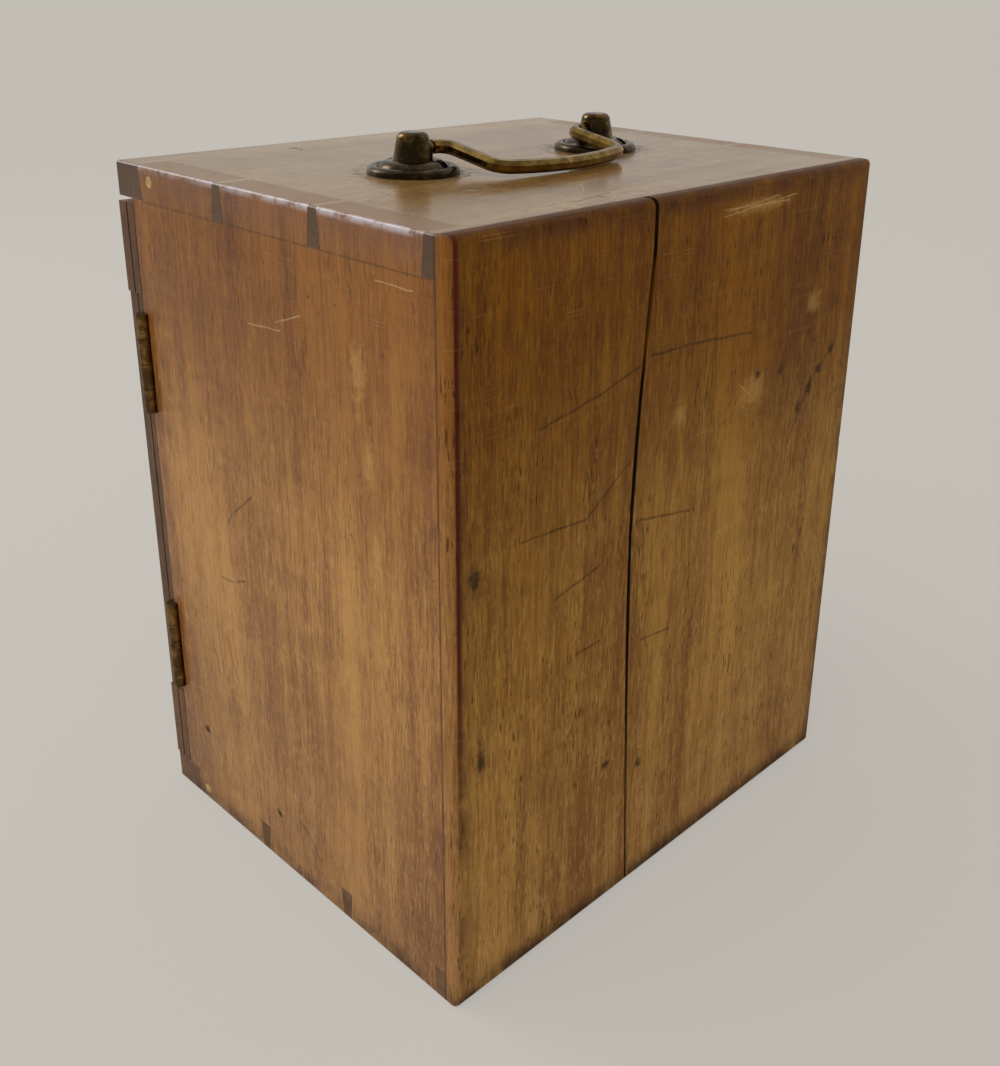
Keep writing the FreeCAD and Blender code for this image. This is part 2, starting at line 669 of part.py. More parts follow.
def build_lock():
    """Lock, escutcheon and keeper: returns the cutters for the door panel and the lock-side board."""
    sizes = (LOCK_SCREW_HEAD_R, LOCK_SCREW_R, LOCK_SCREW_L)
    screws, holes = screw_set(*sizes, lock_screw_places())
    keeper_screws, keeper_holes = screw_set(*sizes, keeper_screw_places())
    lining = escutcheon_blank()
    plate = keeper_blank()
    through = keyhole(0, DOOR_FRONT, DOOR_BACK)
    export("lock_plate", lock_plate(holes))
    export("lock_cap", lock_cap())
    export("lock_bolt", lock_bolt())
    export("lock_screws", Part.makeCompound(screws))
    export("keyhole_escutcheon", lining.cut(through))
    export("lock_keeper", plate.cut([bolt_mortise()] + keeper_holes))
    export("keeper_screws", Part.makeCompound(keeper_screws))
    return holes + [lining, through], keeper_holes + [plate, bolt_mortise()]


def build_case(hinge_tools, handle_tools, keeper_tools):
    """Boards of the box, trimmed to its worn outside."""
    outside = case_envelope()
    all_nails = nails()
    top = top_board_blank()
    bottom = mirrored_down(top)
    export("top_board", top.common(outside).cut(handle_tools + all_nails))
    export("bottom_board", bottom.common(outside).cut(all_nails))
    export("hinge_side_board", side_board_blank(SIDE_INNER).common(outside).cut(hinge_tools + all_nails))
    export("lock_side_board", side_board_blank(-HALF_W).common(outside).cut(keeper_tools + all_nails))
    export("back_board_wide_piece", back_board_half(-1).common(outside).cut(chip()))
    export("back_board_narrow_piece", back_board_half(1).common(outside))
    export("dovetail_nails", Part.makeCompound(all_nails))


def build_door(hinge_tools, lock_tools):
    groove_top = tongue(PANEL_TOP, PANEL_TOP + TONGUE_L, 0)
    groove_bottom = tongue(PANEL_BOTTOM - TONGUE_L, PANEL_BOTTOM, 0)
    export("door_panel", door_panel_blank().cut(hinge_tools + lock_tools).removeSplitter())
    export("door_top_cleat", door_cleat(PANEL_TOP, DOOR_TOP, groove_top))
    export("door_bottom_cleat", door_cleat(DOOR_BOTTOM, PANEL_BOTTOM, groove_bottom))


os.makedirs("parts", exist_ok=True)
side_hinge_tools, door_hinge_tools = build_hinges()
top_tools = build_handle()
door_lock_tools, side_lock_tools = build_lock()
build_case(side_hinge_tools, top_tools, side_lock_tools)
build_door(door_hinge_tools, door_lock_tools)
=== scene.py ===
# %% [markdown]
# A dovetailed mahogany case with a hinged door and a brass drop handle on its top board. The packed
# model already holds every board, hinge and screw at its real size, so this lesson only dresses it:
# polished wood, dark end grain, scratches and aged brass, a pale floor, light and a camera. All pieces
# share one frame, in metres, so a pattern that reads its place in that frame fits every board.

# %% Load the frame
import bpy
from math import radians
from mathutils import Euler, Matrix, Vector


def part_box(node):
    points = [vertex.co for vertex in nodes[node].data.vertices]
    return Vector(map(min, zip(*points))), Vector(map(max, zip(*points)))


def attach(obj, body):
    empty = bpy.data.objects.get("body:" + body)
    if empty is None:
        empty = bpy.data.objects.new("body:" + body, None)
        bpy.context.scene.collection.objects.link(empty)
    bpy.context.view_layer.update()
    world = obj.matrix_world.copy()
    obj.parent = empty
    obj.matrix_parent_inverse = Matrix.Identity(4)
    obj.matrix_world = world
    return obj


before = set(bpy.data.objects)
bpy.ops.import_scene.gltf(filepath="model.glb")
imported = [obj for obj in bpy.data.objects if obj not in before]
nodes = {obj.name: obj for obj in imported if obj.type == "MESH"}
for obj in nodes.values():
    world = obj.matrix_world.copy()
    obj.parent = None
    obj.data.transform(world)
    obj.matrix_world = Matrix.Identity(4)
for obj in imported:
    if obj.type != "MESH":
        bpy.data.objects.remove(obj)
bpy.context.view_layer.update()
MM = 0.001
print("nodes loaded:", len(nodes))

# %% [markdown]
# A finish is a tree of small nodes. Writing every link by hand hides the idea, so this small class
# gives each kind of node one short call, which takes numbers or sockets and returns a socket. The
# formulas further down then read almost like arithmetic.

# %% A short way to write node trees


class Tree:
    """A tree of shader nodes. Each call adds a node and returns its output socket."""

    def __init__(self, tree):
        self.tree = tree

    def feed(self, socket, value):
        """Link a socket to another one, or give it a number or a colour."""
        if isinstance(value, bpy.types.NodeSocket):
            self.tree.links.new(value, socket)
        else:
            socket.default_value = value

    def node(self, kind, inputs, output=0, **settings):
        made = self.tree.nodes.new("ShaderNode" + kind)
        for key, value in settings.items():
            setattr(made, key, value)
        for key, value in inputs.items():
            self.feed(made.inputs[key], value)
        return made.outputs[output]

    def math(self, operation, a, b=0.0, clamp=False):
        return self.node("Math", {0: a, 1: b}, operation=operation, use_clamp=clamp)

    def times(self, first, *others):
        """Product of several sockets and numbers."""
        for other in others:
            first = self.math("MULTIPLY", first, other)
        return first

    def least(self, sockets):
        """Smallest of several sockets."""
        smallest = sockets[0]
        for socket in sockets[1:]:
            smallest = self.math("MINIMUM", smallest, socket)
        return smallest

    def vector(self, operation, a, b=(0.0, 0.0, 0.0), output=0):
        return self.node("VectorMath", {0: a, 1: b}, output, operation=operation)

    def scaled(self, direction, share):
        """A fixed vector, made longer or shorter by a socket."""
        return self.node("VectorMath", {0: direction, "Scale": share}, operation="SCALE")

    def split(self, vector):
        made = self.tree.nodes.new("ShaderNodeSeparateXYZ")
        self.feed(made.inputs[0], vector)
        return made.outputs[0], made.outputs[1], made.outputs[2]

    def join(self, x, y, z):
        return self.node("CombineXYZ", {0: x, 1: y, 2: z})

    def ramp(self, value, low, high, at_low, at_high):
        """Straight ramp from at_low to at_high, which may be numbers or sockets."""
        inputs = {"Value": value, "From Min": low, "From Max": high, "To Min": at_low, "To Max": at_high}
        return self.node("MapRange", inputs)

    def step(self, value, low, high):
        """Smooth step: 0 at low, 1 at high. Swap the two to turn it round."""
        inputs = {"Value": value, "From Min": low, "From Max": high, "To Min": 0.0, "To Max": 1.0}
        return self.node("MapRange", inputs, interpolation_type="SMOOTHSTEP")

    def ray(self, question):
        """1 where the light path answers yes, for instance to Is Camera Ray."""
        return self.node("LightPath", {}, question)


print("one class for node trees")

# %% [markdown]
# Wood and brass both need noise, paint laid over paint and a little relief. These calls belong to a
# material, so they sit in a class of their own, which starts from the plain shader and ends by dressing
# the pieces. Colours are written as they look on a screen, because that is how one reads them off a
# real board.

# %% One finish and its colours

# The Mix node keeps sockets for numbers, vectors and colours. These are the ones it uses for colours.
MIX_SHARE, MIX_A, MIX_B, MIX_RESULT = 0, 6, 7, 2


class Finish(Tree):
    """One material's node tree, with the calls that paint and dress."""

    def __init__(self, name):
        self.material = bpy.data.materials.new(name)
        self.material.use_nodes = True
        super().__init__(self.material.node_tree)
        self.shader = self.tree.nodes["Principled BSDF"]

    def place(self):
        """Object coordinates, in metres, in the frame that all pieces share."""
        return self.node("TexCoord", {}, "Object")

    def noise(self, vector, stretch, detail=2.0, rough=0.5, warp=0.0):
        """Soft noise whose lumps measure about 1/stretch metres along each axis, from 0 to 1."""
        spread = self.vector("MULTIPLY", vector, stretch)
        inputs = {"Vector": spread, "Scale": 1.0, "Detail": detail, "Roughness": rough}
        return self.node("TexNoise", {**inputs, "Distortion": warp})

    def mix(self, share, a, b, blend="MIX"):
        """Colour a where share is 0, colour b where it is 1."""
        inputs = {MIX_SHARE: share, MIX_A: a, MIX_B: b}
        return self.node("Mix", inputs, MIX_RESULT, data_type="RGBA", blend_type=blend)

    def cover(self, colour, paint, mask, strength):
        """Lay a paint over a colour where the mask is 1, as strongly as told."""
        return self.mix(self.times(mask, strength), colour, paint)

    def dye(self, colour, tint):
        """Multiply a colour by a tint, as stain does to wood."""
        return self.mix(1.0, colour, tint, "MULTIPLY")

    def bump(self, height, depth, strength):
        return self.node("Bump", {"Height": height, "Distance": depth, "Strength": strength})

    def set(self, **values):
        """Give the shader's own sockets a number, a colour or a link."""
        for key, value in values.items():
            self.feed(self.shader.inputs[key.replace("_", " ")], value)

    def dress(self, node_names):
        """Make this the only material of some nodes."""
        for name in node_names:
            nodes[name].data.materials.clear()
            nodes[name].data.materials.append(self.material)


def rgb(red, green, blue):
    """Colour as it looks on a screen, 0 to 255, turned into the linear light that shaders use."""
    def linear(level):
        share = level / 255
        return share / 12.92 if share <= 0.04045 else ((share + 0.055) / 1.055) ** 2.4
    return (linear(red), linear(green), linear(blue), 1.0)


print("half grey on a screen is", round(rgb(128, 128, 128)[0], 3), "in light")

# %% [markdown]
# Every board knows its own box, so wear can follow the edges without painting by hand. On a board's
# face one of the three distances to the box's sides is nearly nothing, and the next larger one is the
# way to the nearest edge. The middle one of the three distances is therefore the distance to an edge.

# %% Distances on a board

AXIS = {"x": 0, "y": 1, "z": 2}


def shared_box(names):
    """Lowest and highest corners of several nodes together."""
    boxes = [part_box(name) for name in names]
    low = [min(box[0][axis] for box in boxes) for axis in range(3)]
    high = [max(box[1][axis] for box in boxes) for axis in range(3)]
    return low, high


def side_distances(f, place, low, high):
    """For each axis, the distance to the nearer of the two sides of the box."""
    found = []
    for value, start, end in zip(f.split(place), low, high):
        found.append(f.math("MINIMUM", f.math("SUBTRACT", value, start), f.math("SUBTRACT", end, value)))
    return found


def side_gap(f, place, box, axis):
    """Distance to the nearer of the two ends of the board along one axis."""
    return side_distances(f, place, *box)[AXIS[axis]]


def edge_distance(f, place, box):
    """Middle one of the three distances: max(min(a, b), min(max(a, b), c))."""
    a, b, c = side_distances(f, place, *box)
    smaller = f.math("MINIMUM", a, b)
    larger = f.math("MAXIMUM", a, b)
    return f.math("MAXIMUM", smaller, f.math("MINIMUM", larger, c))


print("hinge side board from", *shared_box(["hinge_side_board"]))

# %% [markdown]
# A scratch is a thin line, and a stain is a ragged oval. Both could be painted on a picture, but a
# picture has a fixed number of dots. A distance has none: how far a spot lies from a line tells how
# strong the scratch is there, and it stays sharp from close by.

# %% Lines and ovals drawn on a face

OVAL_RAGGED = 1.6
OVAL_FADE = (1.6, 0.9)
LINE_CORE = 0.25


def stroke_distance(f, spot, line):
    """Distance from a spot to a line of straight runs: the least of its distances to each run.

    For a run from a to b, the nearest point is a + t (b - a), where t is the spot's share of the way
    along, kept between 0 and 1.
    """
    gaps = []
    for (ax, ay), (bx, by) in zip(line, line[1:]):
        start = (ax * MM, ay * MM, 0.0)
        run = ((bx - ax) * MM, (by - ay) * MM, 0.0)
        length2 = run[0] ** 2 + run[1] ** 2
        away = f.vector("SUBTRACT", spot, start)
        share = f.math("DIVIDE", f.vector("DOT_PRODUCT", away, run, "Value"), length2, clamp=True)
        reached = f.scaled(run, share)
        gaps.append(f.vector("LENGTH", f.vector("SUBTRACT", away, reached), output="Value"))
    return f.least(gaps)


def strokes(f, spot, lines, width):
    """Mask that is 1 on thin lines, given in millimetres on the face, and fades to 0 beside them."""
    nearest = f.least([stroke_distance(f, spot, line) for line in lines])
    return f.step(nearest, width * MM, LINE_CORE * width * MM)


def patches(f, spot, ovals):
    """Mask of soft ragged ovals, each given in millimetres as centre and half sizes."""
    reaches = []
    for across, up, half_w, half_h in ovals:
        away = f.vector("SUBTRACT", spot, (across * MM, up * MM, 0.0))
        scaled = f.vector("MULTIPLY", away, (1 / (half_w * MM), 1 / (half_h * MM), 0.0))
        reaches.append(f.vector("LENGTH", scaled, output="Value"))
    ragged = f.times(f.noise(spot, (260, 260, 260), detail=4.0, rough=0.7), OVAL_RAGGED)
    return f.step(f.math("ADD", f.least(reaches), ragged), *OVAL_FADE)


print("lines and ovals ready")

# %% [markdown]
# Mahogany under old polish has four scales of detail: broad bands of colour a hand wide, streaks along
# the grain, short dark pores no thicker than a hair, and a fine ripple across the grain. Each is the
# same soft noise stretched along the grain by a different amount. A picture of wood would not follow
# the boards round their corners. Noise in the shared frame does, and shows end grain where a board
# ends.

# %% Grain of the wood

LIGHT_WOOD = rgb(190, 142, 82)
DARK_WOOD = rgb(134, 88, 46)
PALE_MARK = rgb(214, 180, 128)
CLOUD_TINT = (0.84, 0.76, 0.72, 1.0)
CLOUD_STRENGTH = 0.35
FLECK_STRENGTH = 0.22


def grain_space(f, place, along):
    """Coordinates turned so that the third one runs along the grain."""
    x, y, z = f.split(place)
    return f.join(y, z, x) if along == "x" else f.join(x, y, z)


def weighted(f, parts):
    """Sum of sockets, each times its own weight."""
    total = 0.0
    for socket, weight in parts:
        total = f.node("Math", {0: socket, 1: weight, 2: total}, operation="MULTIPLY_ADD")
    return total


def wood_pattern(f, grain, shift):
    """Tone from 0, light, to 1, dark, soft clouds, short pale flecks and dark pores."""
    moved = f.vector("ADD", grain, shift)
    bands = f.noise(moved, (20, 20, 2.4), detail=3.0, rough=0.55, warp=0.4)
    streaks = f.noise(moved, (140, 140, 7), detail=4.0, rough=0.6)
    ripple = f.noise(moved, (30, 30, 60), detail=4.0, rough=0.65, warp=0.8)
    hair = f.noise(moved, (1000, 1000, 70), detail=3.0, rough=0.65)
    mixed = weighted(f, [(bands, 0.95), (streaks, 0.65), (ripple, 0.35), (hair, 0.85)])
    tone = f.step(mixed, 1.08, 1.72)
    clouds = f.step(f.noise(moved, (36, 36, 3.5), detail=4.0, rough=0.65, warp=0.4), 0.45, 0.75)
    flecks = f.step(f.noise(moved, (900, 900, 200), detail=2.0), 0.54, 0.66)
    crowd = f.noise(moved, (60, 60, 14), detail=2.0)
    pore = f.noise(moved, (1300, 1300, 150), detail=1.0, rough=0.4)
    pores = f.step(weighted(f, [(pore, 1.0), (crowd, 0.45)]), 0.88, 0.96)
    return tone, clouds, flecks, pores


def bare_wood(f, place, along, shift):
    """Colour of the wood before it is stained, and the mask of its pores."""
    tone, clouds, flecks, pores = wood_pattern(f, grain_space(f, place, along), shift)
    colour = f.mix(tone, LIGHT_WOOD, DARK_WOOD)
    colour = f.cover(colour, f.dye(colour, CLOUD_TINT), clouds, CLOUD_STRENGTH)
    return f.cover(colour, PALE_MARK, flecks, FLECK_STRENGTH), pores


print("grain ready")

# %% [markdown]
# Long use leaves marks that follow the shape of the box. Polish wears thin and red along the edges, and
# dirt settles in the joints and at the foot. Shade is painted in too: the colour changes towards the
# head and the foot as the light on each board does. Each mark is a mask made from the distances on the
# board, broken up by noise so that no edge is ruled.

# %% Wear along the edges, and painted shade along the height

RED_WOOD = rgb(112, 58, 34)
DIRT = rgb(24, 14, 9)
HEAD_FROM, HEAD_TO = 135 * MM, 270 * MM
FOOT_FROM = 150 * MM
SHADE_DRIFT = 90 * MM
HANDLED_WIDTH = 12 * MM
RUBBED_FADE = (1.6 * MM, 0.4 * MM)
TRODDEN_FADE = (13 * MM, 0.5 * MM)


def height_shade_paint(f, place, colour, head, foot):
    """Painted shade and light: the colour changes towards the head and towards the foot of the case."""
    height = f.split(place)[2]
    drift = f.times(f.noise(place, (9, 9, 9), detail=2.0), SHADE_DRIFT)
    level = f.math("ADD", height, f.math("SUBTRACT", drift, SHADE_DRIFT / 2))
    colour = f.mix(f.step(level, HEAD_FROM, HEAD_TO), colour, f.dye(colour, head))
    return f.mix(f.step(level, FOOT_FROM, 0.0), colour, f.dye(colour, foot))


def handled(f, place, box, blotch, colour):
    """Red where hands thinned the polish near an edge, pale where the edge itself is rubbed through."""
    edge = edge_distance(f, place, box)
    thinned = f.times(f.step(edge, HANDLED_WIDTH, 0.0), f.step(blotch, 0.38, 0.7))
    colour = f.cover(colour, RED_WOOD, thinned, 0.5)
    rubbed = f.times(f.step(edge, *RUBBED_FADE), f.step(blotch, 0.52, 0.66))
    return f.cover(colour, PALE_MARK, rubbed, 0.22)


def trodden(f, place, blotch, colour):
    """Dirt along the foot of the case."""
    low = f.times(f.step(f.split(place)[2], *TRODDEN_FADE), f.step(blotch, 0.28, 0.6))
    return f.cover(colour, DIRT, low, 0.65)


print("edge wear ready")

# %% [markdown]
# Where the back board meets the sides, the corner is rounded through both boards. Its edge that faces
# sideways is painted in the lit tone of the side board, and a dark red line of painted shade runs on the
# round. The joint itself is a thin frayed line of old glue and dirt. All three follow from the distance
# to the corner.

# %% Corner and joint of the back board

# Painted shade along the height of the side boards: darker and more orange at the head, a little darker
# at the foot.
SIDE_HEAD_SHADE = (0.63, 0.48, 0.25, 1.0)
SIDE_FOOT_SHADE = (0.86, 0.86, 0.95, 1.0)
# Painted light and shade for the rounded corner of the back board: the lit tone of the side on its
# sideways edge, and a dark red line of shade on the round.
LIT_EDGE_TINT = (0.88, 0.85, 0.84, 1.0)
CORNER_SHADE_RED = rgb(84, 25, 4)
CORNER_BROWN = rgb(62, 36, 14)
DIRTY_WIDTH = 11 * MM
FRAY = 0.6 * MM
JOINT_FADE = (0.9 * MM, 0.2 * MM)


def dirty_corner(f, place, box, blotch, colour, strength):
    """Brown dirt near the ends of the back board."""
    near = f.math("MINIMUM", side_gap(f, place, box, "x"), side_gap(f, place, box, "z"))
    dirty = f.times(f.step(near, DIRTY_WIDTH, 0.0), f.step(blotch, 0.2, 0.6))
    return f.cover(colour, CORNER_BROWN, dirty, strength)


def corner_light_and_shade(f, place, box, bare, colour):
    """Edge of the back board: painted lit tone of the side where it faces sideways, then a red line of
    painted shade on the round.
    """
    axes = f.split(place)
    inward = f.math("SUBTRACT", box[1][0], axes[0])
    starts = f.step(inward, 1.6 * MM, 2.2 * MM)
    stops = f.step(inward, 4.8 * MM, 2.9 * MM)
    line = f.times(starts, stops, f.step(axes[2], 40 * MM, 170 * MM))
    # Painted shade: a dark red line on the round.
    colour = f.mix(line, colour, CORNER_SHADE_RED)
    # Painted light: where it faces sideways, the edge takes the lit tone of the side board.
    polish = height_shade_paint(f, place, f.dye(bare, LIT_EDGE_TINT), SIDE_HEAD_SHADE, SIDE_FOOT_SHADE)
    return f.mix(f.step(inward, 2.4 * MM, 1.4 * MM), colour, polish)


def joint_line(f, place, box):
    """Mask of the dark joint where a board meets the back board."""
    fray = f.times(f.noise(place, (300, 300, 300), detail=2.0), FRAY)
    from_back = f.math("SUBTRACT", box[1][1], f.split(place)[1])
    return f.step(f.math("SUBTRACT", from_back, fray), *JOINT_FADE)


print("corner and joint ready")

# %% [markdown]
# Inside each face lie the marks of use: rubs and stains, short scuffs from other things in a cupboard,
# fine hairlines from cloth, and a few long scratches. The random ones come from noise pulled long and
# kept only at its peaks. The long ones are drawn, with a little sway so that no scratch looks ruled.

# %% Scratches and stains of one face

RUBBED_WOOD = rgb(206, 160, 92)
SCUFF_TURNS = (20, 52, -35)
SWAY = (2.2 * MM, 1.5 * MM, 0.0)
PALE_WIDTH, DARK_WIDTH, RULED_WIDTH = 0.42, 0.8, 0.5


def scuffs(f, spot, turn):
    """Short thin random strokes, all turned by one angle."""
    turned = f.node("VectorRotate", {"Vector": spot, "Angle": radians(turn)}, rotation_type="Z_AXIS")
    peaks = f.step(f.noise(turned, (120, 1500, 1), detail=1.0), 0.69, 0.76)
    return f.times(peaks, f.step(f.noise(turned, (35, 35, 1), detail=1.0), 0.48, 0.6))


def worn_patches(f, spot, outer, colour, marks):
    """Pale rubs and dark stains. Gives back the colour and the mask of the stains."""
    if marks["pale_rubs"]:
        rubs = f.times(patches(f, spot, marks["pale_rubs"]), outer)
        colour = f.cover(colour, RUBBED_WOOD, rubs, 0.45)
    stains = f.times(patches(f, spot, marks["stains"]), outer)
    return f.cover(colour, DIRT, stains, 0.78), stains


def random_wear(f, spot, outer, colour):
    """Small dark dints, scuffs in three directions and pale hairlines."""
    dint_spot = f.vector("ADD", spot, (1.0, 5.0, 0.0))
    dints = f.step(f.noise(dint_spot, (330, 260, 1), detail=2.0), 0.7, 0.76)
    colour = f.cover(colour, DIRT, f.times(dints, outer), 0.45)
    for turn in SCUFF_TURNS:
        colour = f.cover(colour, DIRT, f.times(scuffs(f, spot, turn), outer), 0.4)
    hair_spot = f.vector("ADD", spot, (7.0, 2.0, 0.0))
    hairlines = f.step(f.noise(hair_spot, (34, 1500, 1), detail=2.0, rough=0.6), 0.62, 0.72)
    return f.cover(colour, PALE_MARK, f.times(hairlines, outer), 0.14)


def drawn_lines(f, spot, outer, colour, marks):
    """Long scratches and the ruled joint lines. Gives back the colour and the mask of what is cut in."""
    wobble = f.math("SUBTRACT", f.noise(spot, (240, 240, 240), detail=2.0), 0.5)
    shaken = f.vector("ADD", spot, f.scaled(SWAY, wobble))
    patchy = f.times(f.step(f.noise(spot, (300, 300, 300), detail=2.0), 0.22, 0.5), outer)
    pale = f.times(strokes(f, shaken, marks["pale_lines"], PALE_WIDTH), patchy)
    colour = f.cover(colour, PALE_MARK, pale, 0.48)
    dark = f.times(strokes(f, shaken, marks["dark_lines"], DARK_WIDTH), patchy)
    colour = f.cover(colour, DIRT, dark, 0.52)
    if marks["ruled"]:
        ruled = f.times(strokes(f, spot, marks["ruled"], RULED_WIDTH), patchy)
        colour = f.cover(colour, DIRT, ruled, 0.5)
    return colour, f.math("MAXIMUM", pale, dark)


print("scuffs turned by", *SCUFF_TURNS, "degrees")

# %% [markdown]
# Two marks belong to one face each. Along the top edge of the hinge side a pale, cool highlight is
# painted, with a wider band of painted dull reflection under it. The back board has shrunk and split
# from top to bottom, and both lips of the gap are darkened with painted shade, wider towards the top.
# The gap itself is in the solids. Only its dark lips are added here.

# %% Painted highlight of the top edge and painted shade at the split

# Painted highlight and painted dull reflection along the top edge of the side.
EDGE_HIGHLIGHT_PAINT = rgb(198, 192, 200)
DULL_REFLECTION_PAINT = rgb(126, 100, 96)
# Painted shade on both lips of the split in the back.
SPLIT_SHADE = rgb(24, 15, 9)
LIP_HALF = 0.5 * MM
LIP_GROWTH = 0.0014


def painted_edge_highlight(f, spot, colour, top, outside):
    """Painted highlight, pale and cool, along the top edge, with a wider band of painted dull reflection
    under it.
    """
    below = f.math("SUBTRACT", top * MM, f.split(spot)[1])
    broken = f.step(f.noise(spot, (110, 110, 110), detail=4.0, rough=0.7), 0.36, 0.56)
    dull = f.times(f.step(below, 20 * MM, 2 * MM), 0.3)
    colour = f.cover(colour, DULL_REFLECTION_PAINT, dull, outside)
    bright = f.times(f.step(below, 3.2 * MM, 0.8 * MM), broken, outside)
    along = f.step(f.split(spot)[0], -80 * MM, 50 * MM)
    share = f.math("ADD", f.times(along, 0.5), 0.35)
    return f.cover(colour, EDGE_HIGHLIGHT_PAINT, bright, share)


def split_shade_lips(f, spot, height, colour, line):
    """Painted shade on both lips of the split: half width = LIP_HALF + LIP_GROWTH * height."""
    half = f.math("ADD", f.times(height, LIP_GROWTH), LIP_HALF)
    beside = f.math("SUBTRACT", stroke_distance(f, spot, line), half)
    lips = f.step(beside, 0.3 * MM, 0.0)
    return f.cover(colour, SPLIT_SHADE, lips, 0.95), lips


print("sheen and split ready")

# %% [markdown]
# A mark lies on one face and must not run round onto the edges of the board. The face is named by its
# two directions and by the way it looks out. What lies deeper than a few millimetres under its skin
# stays clean.

# %% All marks of one face

SKIN_INNER = (4.0 * MM, 3.4 * MM)
SKIN_OUTER = (1.3 * MM, 0.5 * MM)


def near_skin(f, depth, skin, fade):
    """Mask of what lies close under the outer face."""
    return f.step(depth, skin - fade[0], skin - fade[1])


def marked(f, place, box, colour, face, marks):
    """All marks of one face, whose axes are named across, up and out.

    Gives back the colour, the mask of what is cut into the surface and the mask of dull stains; on a
    face with a split this last mask is the split's painted shade instead.
    """
    across, up, out = [AXIS[letter] for letter in face]
    axes = f.split(place)
    spot = f.join(axes[across], axes[up], 0.0)
    skin = box[1][out]
    outer = near_skin(f, axes[out], skin, SKIN_INNER)
    colour, stain_and_split_shade = worn_patches(f, spot, outer, colour, marks)
    colour = random_wear(f, spot, outer, colour)
    colour, cut_in = drawn_lines(f, spot, outer, colour, marks)
    # The top edge of the side gets a painted highlight and a band of painted dull reflection.
    if marks["painted_highlight_edge"]:
        outside = near_skin(f, axes[out], skin, SKIN_OUTER)
        colour = painted_edge_highlight(f, spot, colour, marks["painted_highlight_edge"], outside)
    # Painted shade on both lips of the split.
    if marks["split"]:
        colour, stain_and_split_shade = split_shade_lips(f, spot, axes[2], colour, marks["split"])
    return colour, cut_in, stain_and_split_shade


print("marks of a face ready")

# %% [markdown]
# One recipe now polishes any board: bare wood, stain, wear, dirt, dark cut ends that drink the polish,
# pores and marks. The gloss is smeared by hands, so its roughness follows soft noise. Each board then
# only names its own tint, gloss and wear.

# %% A polished board

NO_TINT = (1.0, 1.0, 1.0, 1.0)
END_GRAIN = rgb(60, 36, 29)
SEAM_RED = rgb(58, 20, 10)
PORE_TINT = rgb(112, 92, 80)
RIM_FADE = (1.4 * MM, 0.4 * MM)
END_FADE = (0.9 * MM, 0.3 * MM)
RELIEF_DEPTH = 0.07 * MM
RELIEF_STRENGTH = 0.7
SMEAR_ROUGHNESS = 0.26
GRIME_ROUGHNESS = 0.45
SEAM_STRENGTH = 0.7


def mahogany(name, node_names, along="z", shift=(0.0, 0.0, 0.0), tint=NO_TINT, gloss=0.3,
             head=NO_TINT, foot=NO_TINT, ends=0.25, seam=False, specular=0.4, pored=0.55, corner=0.0,
             face=None, marks=None, cut=END_GRAIN, end_specular=None, rim=0.0):
    """Polished board, with its grain along one axis and its own part of the pattern.

    tint stains it. head and foot are painted shade and light towards its head and its foot. ends, pored,
    corner and rim say how dark its cut ends, pores, corners and side edges are, and corner also paints
    light and shade on the rounded corner of the back. seam draws the joint with the back board. gloss is
    its roughness before smears.
    """
    box = shared_box(node_names)
    f = Finish(name)
    place = f.place()
    bare, pores = bare_wood(f, place, along, shift)
    blotch = f.noise(place, (60, 60, 60), detail=4.0, rough=0.65)
    # Painted shade and light along the height of the board.
    colour = height_shade_paint(f, place, f.dye(bare, tint), head, foot)
    colour = handled(f, place, box, blotch, colour)
    if rim:
        colour = f.cover(colour, DIRT, f.step(side_gap(f, place, box, "x"), *RIM_FADE), rim)
    if corner:
        colour = dirty_corner(f, place, box, blotch, colour, corner)
        # Painted light and shade on the rounded corner.
        colour = corner_light_and_shade(f, place, box, bare, colour)
    colour = trodden(f, place, blotch, colour)
    end = f.step(side_gap(f, place, box, along), *END_FADE)
    colour = f.cover(colour, cut, end, ends)
    colour = f.cover(colour, f.dye(colour, PORE_TINT), pores, pored)
    height = f.times(pores, -1.0)
    if seam:
        joint = joint_line(f, place, box)
        colour = f.cover(colour, SEAM_RED, joint, SEAM_STRENGTH)
        height = f.math("SUBTRACT", height, joint)
    smear = f.noise(place, (22, 22, 28), detail=5.0, rough=0.7)
    rough = f.math("ADD", f.times(smear, SMEAR_ROUGHNESS), gloss)
    if face:
        colour, cut_in, stain_and_split_shade = marked(f, place, box, colour, face, marks)
        height = f.math("SUBTRACT", height, cut_in)
        rough = f.math("ADD", rough, f.times(stain_and_split_shade, GRIME_ROUGHNESS))
    f.set(Base_Color=colour, Roughness=rough, Specular_IOR_Level=specular)
    f.set(Normal=f.bump(height, RELIEF_DEPTH, RELIEF_STRENGTH))
    if end_specular:
        f.set(Specular_IOR_Level=f.math("ADD", f.times(end, end_specular - specular), specular))
    f.dress(node_names)
    print(name, "on", *node_names)


print("recipe for a polished board ready")

# %% [markdown]
# The scratches that catch the eye are listed one by one, as short lines in millimetres on each face,
# with a few rubbed and stained patches. Random marks alone would look like any old box. These make it
# this one. A line is a list of points, and a patch is a centre and two half sizes.

# %% Marks on the hinge side

